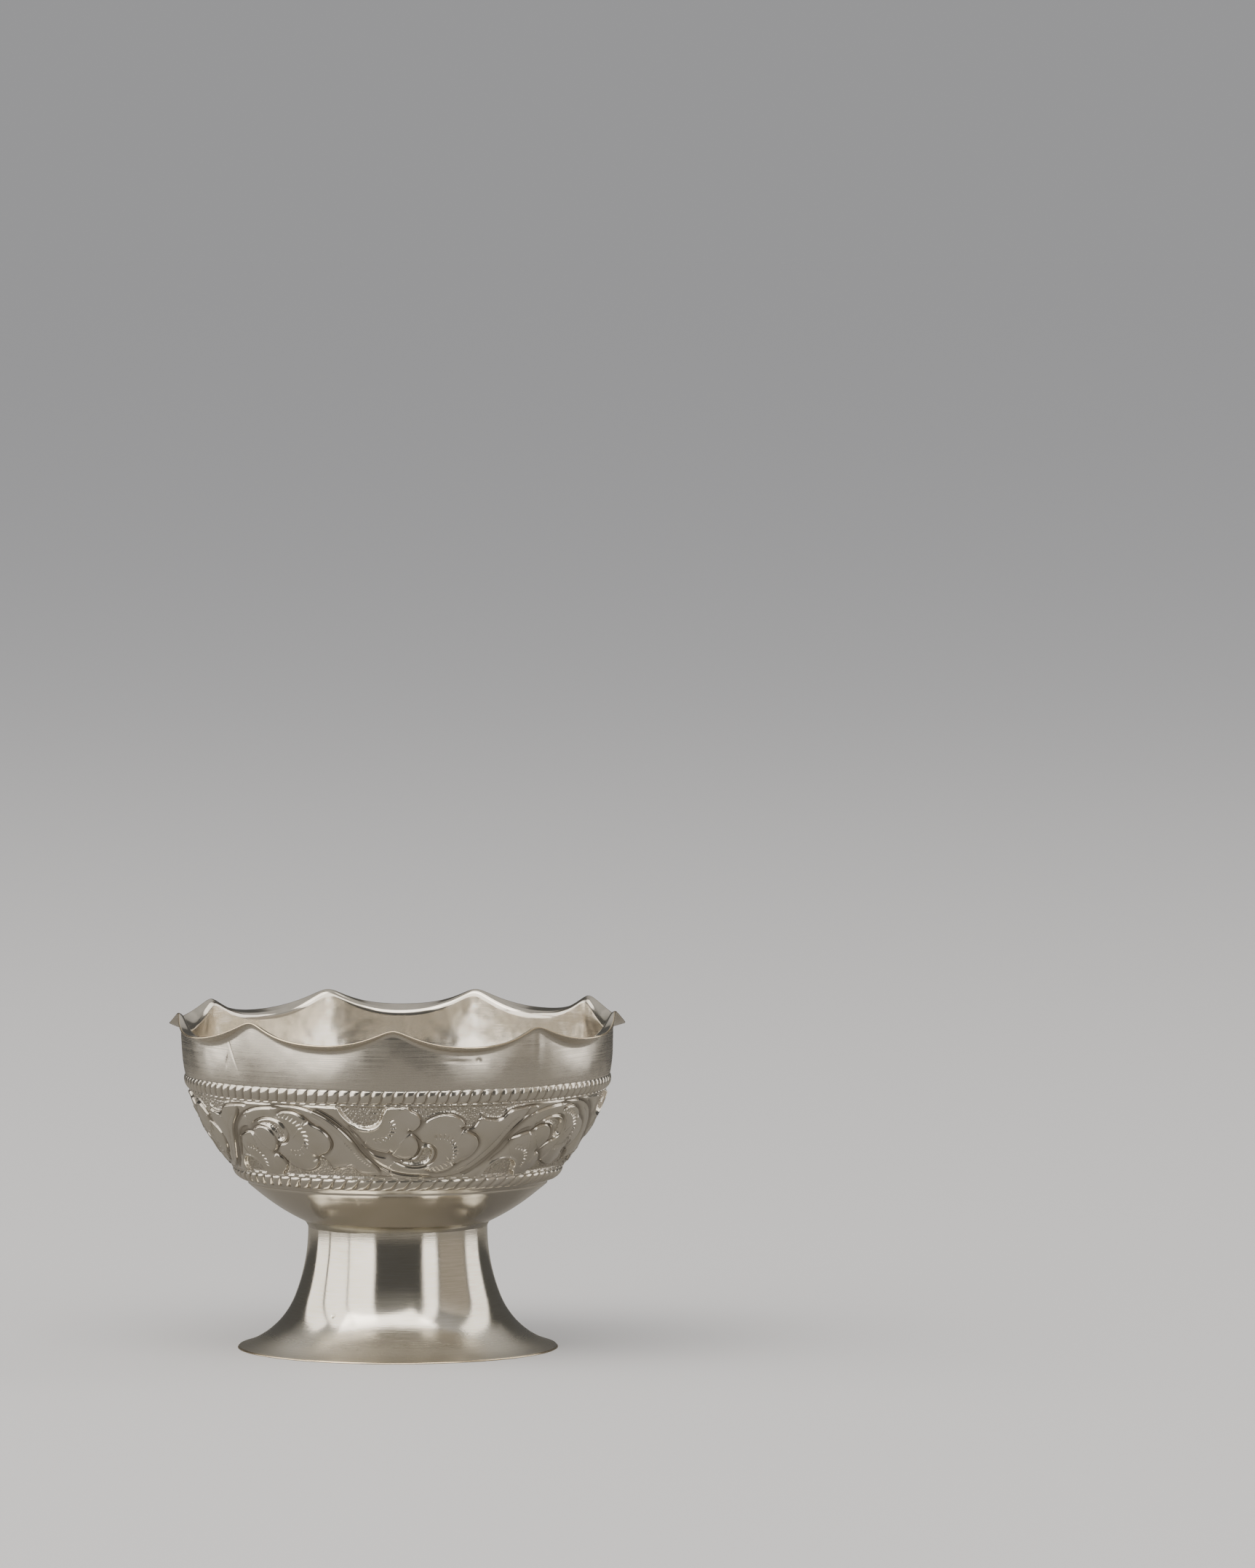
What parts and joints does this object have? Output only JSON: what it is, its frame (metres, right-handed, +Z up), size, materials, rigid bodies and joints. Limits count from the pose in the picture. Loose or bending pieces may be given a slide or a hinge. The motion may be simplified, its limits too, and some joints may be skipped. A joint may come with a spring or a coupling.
{
  "type": "footed silver cup",
  "caption": "Small open footed cup: a hemispherical bowl with a chased vine band between two ropes and a scalloped turned-out rim, soldered to a hollow trumpet foot.",
  "frame": {"origin": "on the floor, at the centre of the foot's rim, on the cup's axis", "axes": "+Z up along the cup's axis; -Y towards the front rim tip; +X to the right seen from the front"},
  "size_m": [0.0636, 0.0631, 0.0469],
  "materials": {
    "chased_silver": "solid silver sheet, satin brushed above the upper rope, frosted in the chased band, bright on the petals and the underside",
    "spun_silver": "solid silver sheet, mirror polished over fine turning lines",
    "silver_solder": "silver solder, dull and slightly uneven"
  },
  "bodies": {
    "root": {"bowl": "chased_silver", "foot": "spun_silver", "solder_seam": "silver_solder"}
  },
  "joints": []
}
